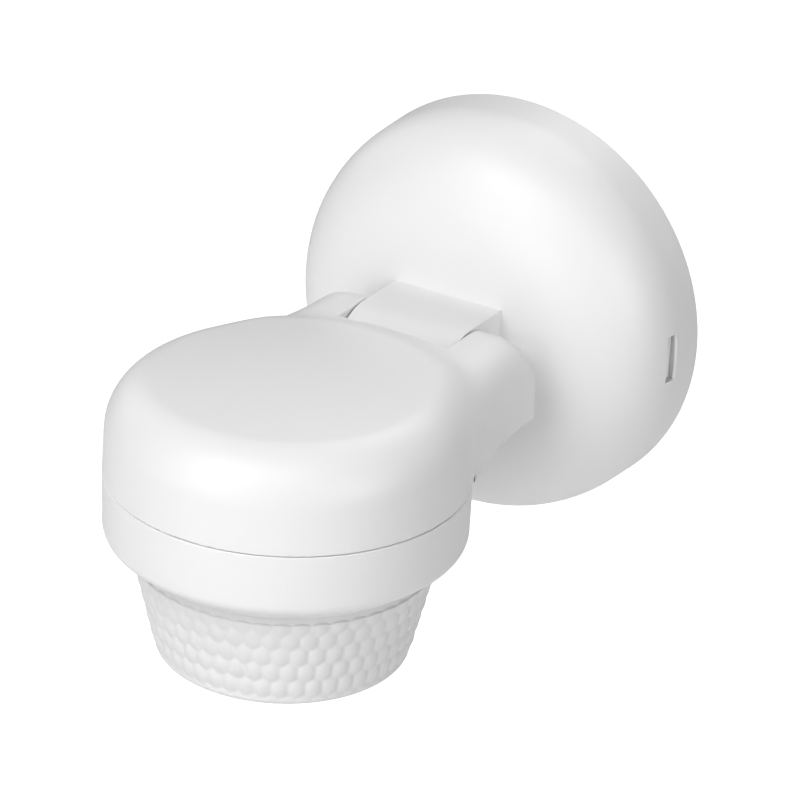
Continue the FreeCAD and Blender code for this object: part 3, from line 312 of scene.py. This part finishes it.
def slope_of(field, points):
    """The field's gradient at the points, by small steps."""
    parts = []
    for axis in range(3):
        step = np.eye(3)[axis] * PROBE
        parts.append((field(points + step) - field(points - step)) / (2 * PROBE))
    return np.stack(parts, axis=1)


def settle(field, points, reach, rounds=4):
    """Moves the points onto the field's zero surface and returns them with their normals."""
    for _ in range(rounds):
        slope = slope_of(field, points)
        steep = np.maximum((slope ** 2).sum(1), FLATTEST)
        move = -field(points)[:, None] * slope / steep[:, None]
        length = np.linalg.norm(move, axis=1, keepdims=True)
        points = points + move * np.minimum(1.0, reach / np.maximum(length, TINY))
    slope = slope_of(field, points)
    return points, slope / np.maximum(np.linalg.norm(slope, axis=1, keepdims=True), TINY)


def add_mesh(name, vertices_mm, faces, material):
    mesh = bpy.data.meshes.new(name)
    mesh.from_pydata((np.asarray(vertices_mm) * MM).tolist(), [], faces)
    mesh.polygons.foreach_set("use_smooth", [True] * len(mesh.polygons))
    mesh.materials.append(MATERIALS[material])
    mesh.update()
    piece = bpy.data.objects.new(name, mesh)
    bpy.context.scene.collection.objects.link(piece)
    return piece


def moulded_piece(name, field, low, high, cell, material):
    """A closed mesh of a field, with the field's own normals so that it shades evenly."""
    vertices, quads = surface_nets(field, low, high, cell)
    vertices, normals = settle(field, vertices, cell * SETTLE_REACH)
    piece = add_mesh(name, vertices, quads.tolist(), material)
    piece.data.normals_split_custom_set_from_vertices(normals.tolist())
    return piece


def soft_max(a, b, radius):
    """Maximum of two fields; the outer edge where they meet is rounded."""
    corner = np.hypot(np.maximum(a + radius, 0), np.maximum(b + radius, 0))
    return np.minimum(np.maximum(a, b), -radius) + corner


def ease(value, start, end):
    share = np.clip((value - start) / (end - start), 0, 1)
    return share * share * (3 - 2 * share)


# ---------------------------------------------------------------- head cap

CROWN_RADIUS = 245.0
HEAD_FILLET = 10.5
SEAM_Z = -7.12
SIDE_TOP_Z = 4.46
SIDE_DRAFT = 0.035
TOP_RADIUS = HEAD_RADIUS - (SIDE_TOP_Z - SEAM_Z) * SIDE_DRAFT
NECK_TOP_Z = 10.9
NECK_HALF = 28.4
NECK_FILLET = 9.0
FLARE_START = -44.0
REAR_ROUND = 9.0
REAR_ROUND_Y = -45.3
REAR_ROUND_STOP = REAR_ROUND - 0.1
CAP_WALL = 2.4
NOTCH_HALF = 14.7
NOTCH_RADIUS = 12.6
NOTCH_FRONT = -55.5
RING_SLIP = 0.35
EDGE = 0.45
LIP_EDGE = 0.8
FALL_NEAR = 32.0
FALL_FAR = 47.0
BACK_START = -80.0
BACK_END = -62.0
SEAM_EDGE = 0.2
BUSH_HOLE = 4.0
BUSH_HOLE_EXTRA = 1.0
POST_RING = 30.0
NECK_POST_X = 24.6
NECK_POST_Y = -60.0
POST_RADIUS = 2.6
POST_FOOT_Z = -5.0
POST_HOLE = 1.2
POST_HOLE_TOP = 1.5
GRID_MARGIN = 2.0
FINE_CELL = 0.5


def cap_outside(points):
    """The cap's outer skin before trimming: a round plan run through a hollow flare into the
    straight neck, under a crowned top that falls to the neck, with one rounded rim all along."""
    x, y, z = np.abs(points[:, 0]), points[:, 1], points[:, 2]
    around = np.hypot(x, y - HEAD_Y)
    run = FLARE_START - HEAD_Y
    flare = (NECK_HALF ** 2 + run ** 2 - TOP_RADIUS ** 2) / (2 * (TOP_RADIUS - NECK_HALF))
    flare_x = NECK_HALF + flare
    hollow_side = flare - np.hypot(x - flare_x, y - FLARE_START)
    side = np.where(y < FLARE_START, hollow_side, x - NECK_HALF)
    side = np.where((y - HEAD_Y) * flare_x < x * run, around - TOP_RADIUS, side)
    side = side - np.maximum(SIDE_TOP_Z - z, 0) * SIDE_DRAFT
    share = ease(around, FALL_NEAR, FALL_FAR) * ease(y, BACK_START, BACK_END)
    dip = CROWN_RADIUS - np.sqrt(np.maximum(CROWN_RADIUS ** 2 - around ** 2, 0))
    behind = np.clip(y - REAR_ROUND_Y, 0, REAR_ROUND_STOP)
    neck_top = NECK_TOP_Z - REAR_ROUND + np.sqrt(REAR_ROUND ** 2 - behind ** 2)
    top = (CAP_HIGH[2] - dip) * (1 - share) + neck_top * share
    rim = HEAD_FILLET * (1 - share) + NECK_FILLET * share
    return soft_max(side, z - top, rim)


def notch_field(points):
    """Negative in the notch for the knuckle."""
    y, z = points[:, 1], points[:, 2]
    round_end = np.hypot(y - HINGE[1], z - HINGE[2]) - NOTCH_RADIUS
    above = np.maximum(NOTCH_FRONT - y, HINGE[2] - z)
    side = np.minimum(round_end, above)
    return np.maximum(np.abs(points[:, 0]) - NOTCH_HALF, side)


def post_spots():
    """Screw posts: three round the head and one each side of the neck."""
    spots = [(-NECK_POST_X, NECK_POST_Y), (NECK_POST_X, NECK_POST_Y)]
    for angle in (90, 210, 330):
        turn = math.radians(angle)
        spots.append((POST_RING * math.cos(turn), HEAD_Y + POST_RING * math.sin(turn)))
    return spots


def cap_field(points):
    """The whole moulding: skin, open rear and bottom, notch, hollow, screw posts and bush holes."""
    x, y, z = points[:, 0], points[:, 1], points[:, 2]
    skin = cap_outside(points)
    notch = notch_field(points)
    rear = y - CAP_HIGH[1]
    clear_of_ring = HEAD_RADIUS + RING_SLIP - np.hypot(x, y - HEAD_Y)
    bottom = np.minimum(SEAM_Z - z, np.maximum(CAP_LOW[2] - z, clear_of_ring))
    shell = soft_max(skin, rear, LIP_EDGE)
    shell = soft_max(shell, bottom, SEAM_EDGE)
    shell = soft_max(shell, -notch, EDGE)
    hollow = np.maximum(np.maximum(skin, rear) + CAP_WALL, CAP_WALL - notch)
    shell = np.maximum(shell, -hollow)
    for post_x, post_y in post_spots():
        away = np.hypot(x - post_x, y - post_y)
        post = np.maximum(np.maximum(away - POST_RADIUS, POST_FOOT_Z - z), skin + CAP_WALL / 2)
        hole = np.maximum(away - POST_HOLE, z - POST_HOLE_TOP)
        shell = np.maximum(np.minimum(shell, post), -hole)
    hinge_hole = np.hypot(y - HINGE[1], z - HINGE[2]) - BUSH_HOLE
    hinge_hole = np.maximum(hinge_hole, np.abs(x) - NOTCH_HALF - CAP_WALL - BUSH_HOLE_EXTRA)
    return np.maximum(shell, -hinge_hole)


def build_head_cap():
    cell = FINE_CELL
    low, high = CAP_LOW - GRID_MARGIN, CAP_HIGH + GRID_MARGIN
    cap = moulded_piece("cap_shell", cap_field, low, high, cell, "white_shell")
    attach(cap, "head")
    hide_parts("head_cap")


# ---------------------------------------------------------------- lens

LENS_CELLS = 49
LENS_PHASE = -91.3
LENS_ROWS = (-28.6, -32.3, -36.85, -41.4, -46.0, -50.6)
CELL_STEPS = 10
PILLOW = 0.115
ROW_SQUASH = 0.79
BAND_RADIUS = 34.0
BAND_Z = -27.5
BAND_DROP = 0.5
ARCH_DROP = 0.45
TOE_Z = -49.6
TOE_RADIUS = 28.7
TOE_ROUND = 1.7
SEAT_Z = -21.6
FLANGE_RADIUS = 37.5
LENS_WALL = 1.0
WALL_SLOPE = (BAND_RADIUS - TOE_RADIUS) / (BAND_Z - TOE_Z)
FAR = 99.0
CLOSE = 0.05
TOE_MARGIN = 0.8
WALL_MARGIN = 0.6
BAND_MARGIN = 0.3
ARCH_FADE_START = 0.2
ARCH_FADE_END = 1.6
CELL_FADE_BELOW = 0.4
CELL_FADE_ABOVE = 1.2
STEP_HALF = 0.12
END_MARGIN = 1.4
END_SINK = 0.2
END_FADE_START = 1.5
END_FADE_END = 4.0
PROFILE_STEP = 0.35
BAND_LEAD = 0.4
BAND_HEIGHTS = (BAND_Z + 0.6, -24.5, -22.5, SEAT_Z)
FLANGE_THICK = 1.2
END_WALL = LENS_WALL + 0.1
END_STEP = 0.6
INNER_HEIGHTS = (-33.0, -39.0, -45.0)
INNER_RADII = (20.0, 10.0, 0.0)
WELD_REACH = 0.00002
SHARP_ANGLE = math.radians(32)


def wall_radius(z):
    return np.minimum(BAND_RADIUS, BAND_RADIUS + (z - BAND_Z) * WALL_SLOPE)


def lathe(name, profile, columns, material, shape=None):
    """Turns (radius, height) pairs about the head's axis; shape may shift the loops' points."""
    angles = np.arange(columns) * 2 * math.pi / columns
    radii = np.repeat(np.array([spot[0] for spot in profile])[:, None], columns, axis=1)
    heights = np.repeat(np.array([spot[1] for spot in profile])[:, None], columns, axis=1)
    if shape:
        radii, heights = shape(radii, heights, angles[None, :])
    x = radii * np.cos(angles)
    y = HEAD_Y + radii * np.sin(angles)
    vertices = np.stack([x, y, heights], axis=-1).reshape(-1, 3)
    count = len(profile)
    loops = np.arange(count * columns).reshape(count, columns)
    ahead = np.roll(loops, -1, axis=1)
    below, below_ahead = np.roll(loops, -1, axis=0), np.roll(ahead, -1, axis=0)
    faces = np.stack([loops, ahead, below_ahead, below], axis=-1)
    return add_mesh(name, vertices, faces.reshape(-1, 4).tolist(), material)


def close_poles(piece):
    """Merges the points that lie on the head's axis into one."""
    weld = piece.modifiers.new("weld", "WELD")
    weld.merge_threshold = WELD_REACH
    bake(piece)


def bake(piece):
    """Applies a piece's modifiers and marks its sharp edges."""
    graph = bpy.context.evaluated_depsgraph_get()
    mesh = bpy.data.meshes.new_from_object(piece.evaluated_get(graph))
    piece.modifiers.clear()
    piece.data = mesh
    mesh.set_sharp_from_angle(angle=SHARP_ANGLE)


def pillow_drop(angles, z):
    """How far a wall point lies below its cell's crown: the cells are paraboloids in a honeycomb."""
    pitch = 360.0 / LENS_CELLS
    turn = (np.degrees(angles) - LENS_PHASE) / pitch
    best = np.full(np.broadcast(turn, z).shape, FAR)
    for row, centre in enumerate(LENS_ROWS):
        shift = turn - 0.5 * ((row + 1) % 2)
        across = (shift - np.round(shift)) * math.radians(pitch) * wall_radius(z)
        along = (z - centre) * ROW_SQUASH
        best = np.minimum(best, across ** 2 + along ** 2)
    return PILLOW * best


def arch(angles):
    """0 at the top of each arch of the first row, 1 at the valleys."""
    turn = (np.degrees(angles) - LENS_PHASE) * LENS_CELLS / 360.0 - 0.5
    return (2 * (turn - np.round(turn))) ** 2


def base_drop(x, y):
    """Honeycomb pillows on the lens's flat end."""
    pitch = math.radians(360.0 / LENS_CELLS) * TOE_RADIUS
    rise = pitch * math.sqrt(3) / 2
    best = np.full(x.shape, FAR)
    for parity in (0, 1):
        row = np.round((y / rise - parity) / 2) * 2 + parity
        shift = x / pitch - 0.5 * parity
        across = (shift - np.round(shift)) * pitch
        best = np.minimum(best, across ** 2 + (y - row * rise) ** 2)
    return PILLOW * best


def shape_lens(radii, heights, angles):
    """Raises the cells on the wall, cuts the arched edge of the band and dimples the flat end."""
    outside = (radii > TOE_RADIUS - TOE_MARGIN) & (radii > wall_radius(heights) - WALL_MARGIN)
    wall = outside & (heights < BAND_Z + BAND_MARGIN)
    near_edge = 1 - ease(np.abs(heights - BAND_Z), ARCH_FADE_START, ARCH_FADE_END)
    heights = np.where(wall, heights - ARCH_DROP * arch(angles) * near_edge, heights)
    crown = PILLOW * (math.radians(180.0 / LENS_CELLS) * BAND_RADIUS) ** 2
    fade = ease(heights, TOE_Z - CELL_FADE_BELOW, TOE_Z + CELL_FADE_ABOVE)
    lift = (crown / 2 - pillow_drop(angles, heights)) * fade
    edge = BAND_Z - ARCH_DROP * arch(angles)
    recess = -BAND_DROP * ease(heights, edge - STEP_HALF, edge + STEP_HALF)
    radii = np.where(wall, radii + np.where(heights > edge, recess, lift + recess), radii)
    end = (heights < LENS_END_Z + CLOSE) & (radii < TOE_RADIUS - END_MARGIN)
    x, y = radii * np.cos(angles), radii * np.sin(angles)
    inward = TOE_RADIUS - radii
    sink = np.minimum(base_drop(x, y), END_SINK) * ease(inward, END_FADE_START, END_FADE_END)
    return radii, np.where(end, heights + sink, heights)


def lens_profile():
    """The cup's closed section, from the middle of its end, up the outside and back down inside."""
    low = LENS_END_Z
    corner = wall_radius(low)
    slope = math.atan(WALL_SLOPE)
    reach = TOE_ROUND * math.tan((math.pi / 2 - slope) / 2)
    centre_r, centre_z = corner - reach, low + TOE_ROUND
    profile = [(0.0, low)]
    profile += [(radius, low) for radius in np.arange(END_STEP, centre_r - END_STEP / 2, END_STEP)]
    for share in (0.0, 0.2, 0.4, 0.6, 0.8, 1.0):
        turn = (math.pi / 2 - slope) * share
        profile.append((centre_r + TOE_ROUND * math.sin(turn), centre_z - TOE_ROUND * math.cos(turn)))
    start = profile[-1][1]
    heights = list(np.arange(start + PROFILE_STEP, BAND_Z - BAND_LEAD, PROFILE_STEP))
    heights += [BAND_Z + step * STEP_HALF for step in (-2, -1, 0, 1, 2)]
    profile += [(wall_radius(z), z) for z in heights]
    profile += [(BAND_RADIUS - BAND_DROP, z) for z in BAND_HEIGHTS]
    flange_top = SEAT_Z + FLANGE_THICK
    profile += [(FLANGE_RADIUS, SEAT_Z), (FLANGE_RADIUS, flange_top)]
    inner = BAND_RADIUS - LENS_WALL - BAND_DROP
    profile += [(inner, flange_top), (inner, BAND_Z)]
    inner_low = low + END_WALL
    for z in INNER_HEIGHTS + (inner_low,):
        profile.append((wall_radius(z) - LENS_WALL - BAND_DROP, z))
    profile += [(radius, inner_low) for radius in INNER_RADII]
    return profile


def build_lens():
    lens = lathe("lens_dome", lens_profile(), LENS_CELLS * CELL_STEPS, "lens_film", shape_lens)
    close_poles(lens)
    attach(lens, "lens_assembly")
    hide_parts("lens")


# ---------------------------------------------------------------- lens ring

RING_TOP_Z = -7.3
RING_WALL = 2.4
RING_FOOT_RADIUS = 40.8
RING_FOOT_Z = -21.0
RING_FOOT_ROUND = 3.2
RING_LIP_Z = -25.8
RING_EDGE = 0.3
RING_CLEAR = 0.12
POCKET_DEPTH = 1.4
RING_COLUMNS = 256
ARC_STEPS = 6


def rounded(corners):
    """A closed outline through (radius, height, fillet) corners, each fillet a short arc."""
    outline = []
    for index, (radius, height, fillet) in enumerate(corners):
        corner = Vector((radius, height))
        back = (Vector(corners[index - 1][:2]) - corner).normalized()
        ahead = (Vector(corners[(index + 1) % len(corners)][:2]) - corner).normalized()
        half = back.angle(ahead) / 2
        centre = corner + (back + ahead).normalized() * fillet / math.sin(half)
        start = corner + back * fillet / math.tan(half) - centre
        end = corner + ahead * fillet / math.tan(half) - centre
        for step in range(ARC_STEPS + 1):
            outline.append(tuple(centre + start.lerp(end, step / ARC_STEPS).normalized() * fillet))
    return outline


def build_lens_ring():
    """The bayonet ring: a plain wall, a soft foot and a slanting lip round the lens."""
    bore = HEAD_RADIUS - RING_WALL
    opening = BAND_RADIUS + RING_CLEAR
    pocket = FLANGE_RADIUS + RING_CLEAR
    outline = rounded((
        (opening, RING_LIP_Z, RING_EDGE),
        (RING_FOOT_RADIUS, RING_FOOT_Z, RING_FOOT_ROUND),
        (HEAD_RADIUS, RING_TOP_Z, RING_EDGE),
        (bore, RING_TOP_Z, RING_EDGE),
        (bore, SEAT_Z + POCKET_DEPTH, RING_EDGE),
        (pocket, SEAT_Z, RING_EDGE),
        (opening, SEAT_Z, RING_EDGE),
    ))
    ring = lathe("lens_ring_shell", outline, RING_COLUMNS, "white_shell")
    bake(ring)
    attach(ring, "lens_assembly")
    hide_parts("lens_ring")


# ---------------------------------------------------------------- release slot

SLOT_MARGIN = 0.4
SLOT_REAR = 3.9
BEVEL_DEPTH = 0.55
BEVEL_RISE = 0.3
BEVEL_STEPS = 12


def build_slot_bevel():
    """A slim bevel along the rear edge of the release slot, on the cover's round wall."""
    low, high = corners_mm("release_latch")
    edge_y = low[1] + SLOT_REAR
    bottom, top = low[2] - SLOT_MARGIN, high[2] + SLOT_MARGIN
    cover = frame["nodes"]["base_cover"]
    spots = [cover.matrix_world @ vertex.co / MM for vertex in cover.data.vertices]
    rim = [
        spot for spot in spots
        if spot.x > 0 and abs(spot.y - edge_y) < CLOSE and bottom - CLOSE < spot.z < top + CLOSE
    ]
    skin = max(math.hypot(spot.x, spot.z) for spot in rim)
    section = ((0.0, 0.0), (-BEVEL_DEPTH, -BEVEL_RISE), (-BEVEL_DEPTH, 0.0))
    vertices = []
    for step in range(BEVEL_STEPS + 1):
        z = bottom + (top - bottom) * step / BEVEL_STEPS
        x = math.sqrt(skin ** 2 - z ** 2)
        vertices += [(x + inward, edge_y + forward, z) for inward, forward in section]
    faces = [(0, 1, 2), (3 * BEVEL_STEPS + 2, 3 * BEVEL_STEPS + 1, 3 * BEVEL_STEPS)]
    for step in range(BEVEL_STEPS):
        first = 3 * step
        for side in range(3):
            after = (side + 1) % 3
            faces.append((first + side, first + side + 3, first + after + 3, first + after))
    bevel = add_mesh("slot_bevel", np.array(vertices), faces, "white_shell")
    bake(bevel)
    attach(bevel, "base")


build_head_cap()
build_lens()
build_lens_ring()
build_slot_bevel()


# ---------------------------------------------------------------- studio

FLOOR_DROP = 0.55
FLOOR_SIZE = 14.0
WORLD_LIGHT = 0.02
FLOOR_LIGHT = 0.08
SOFTBOX_DISTANCE = 1.6
SOFTBOX_SIZE = 0.9


def seen_or_lit(nodes, seen, lit):
    """A strength that is one value to the camera and another to every other ray."""
    path = nodes.new("ShaderNodeLightPath")
    mix = nodes.new("ShaderNodeMix")
    mix.inputs["A"].default_value = lit
    mix.inputs["B"].default_value = seen
    return path.outputs["Is Camera Ray"], mix


def clear_from_below(nodes):
    """Lets a camera under the floor look through its back face."""
    sides = nodes.add("ShaderNodeNewGeometry")
    mix = nodes.add("ShaderNodeMixShader")
    nodes.link(sides, "Backfacing", mix, "Fac")
    nodes.tree.links.new(nodes.shader.outputs["BSDF"], mix.inputs[1])
    nodes.tree.links.new(nodes.add("ShaderNodeBsdfTransparent").outputs["BSDF"], mix.inputs[2])
    nodes.link(mix, "Shader", nodes.output, "Surface")


def build_studio():
    world = bpy.data.worlds.new("studio")
    world.use_nodes = True
    tree = world.node_tree
    is_camera, mix = seen_or_lit(tree.nodes, 1.0, WORLD_LIGHT)
    tree.links.new(is_camera, mix.inputs["Factor"])
    background = tree.nodes["Background"]
    background.inputs["Color"].default_value = (1.0, 1.0, 1.0, 1.0)
    tree.links.new(mix.outputs["Result"], background.inputs["Strength"])
    bpy.context.scene.world = world
    bpy.ops.mesh.primitive_plane_add(size=FLOOR_SIZE, location=(0, 0, CAD_LOW.z - FLOOR_DROP))
    floor = bpy.context.object
    floor.name = "studio_floor"
    nodes = Nodes("studio_floor")
    is_camera, mix = seen_or_lit(nodes.tree.nodes, 1.0, FLOOR_LIGHT)
    nodes.tree.links.new(is_camera, mix.inputs["Factor"])
    nodes.link(mix, "Result", nodes.shader, "Emission Strength")
    nodes.set(Base_Color=(0.95, 0.95, 0.95, 1), Roughness=0.9, Emission_Color=(1, 1, 1, 1))
    clear_from_below(nodes)
    floor.data.materials.append(nodes.material)


def soft_light(name, azimuth, elevation, power):
    """A square softbox aimed at the object's middle."""
    middle = (CAD_LOW + CAD_HIGH) / 2
    a, e = math.radians(azimuth), math.radians(elevation)
    away = Vector((math.sin(a) * math.cos(e), -math.cos(a) * math.cos(e), math.sin(e)))
    data = bpy.data.lights.new(name, "AREA")
    data.size = SOFTBOX_SIZE
    data.energy = power
    lamp = bpy.data.objects.new(name, data)
    bpy.context.scene.collection.objects.link(lamp)
    lamp.location = middle + away * SOFTBOX_DISTANCE
    lamp.rotation_mode = "QUATERNION"
    lamp.rotation_quaternion = away.to_track_quat("Z", "Y")


SOFTBOXES = (
    ("key_low", -15, 10, 8.8),
    ("key_high", -15, 45, 14.8),
    ("front", 30, 50, 4.4),
    ("right", 75, 15, 9.6),
    ("left", -105, 20, 2.9),
    ("behind", 180, 50, 8.6),
)

CAMERA_AZIMUTH = 30.575
CAMERA_ELEVATION = 25.737
CAMERA_ROLL = 2.559
CAMERA_DISTANCE = 0.8994
CAMERA_LENS = 179.38
CAMERA_AIM = Vector((0.00826, -0.06444, -0.00056))


def build_camera():
    a, e = math.radians(CAMERA_AZIMUTH), math.radians(CAMERA_ELEVATION)
    back = Vector((math.sin(a) * math.cos(e), -math.cos(a) * math.cos(e), math.sin(e)))
    data = bpy.data.cameras.new("camera")
    data.lens = CAMERA_LENS
    camera = bpy.data.objects.new("camera", data)
    bpy.context.scene.collection.objects.link(camera)
    right = Vector((0, 0, 1)).cross(back).normalized()
    up = back.cross(right)
    upright = Matrix((right, up, back)).transposed().to_4x4()
    roll = Matrix.Rotation(math.radians(CAMERA_ROLL), 4, "Z")
    camera.matrix_world = Matrix.Translation(CAMERA_AIM + back * CAMERA_DISTANCE) @ upright @ roll
    data.clip_start, data.clip_end = 0.01, 100.0
    bpy.context.scene.camera = camera


build_studio()
for softbox in SOFTBOXES:
    soft_light(*softbox)
build_camera()
bpy.context.scene.view_settings.view_transform = "Standard"
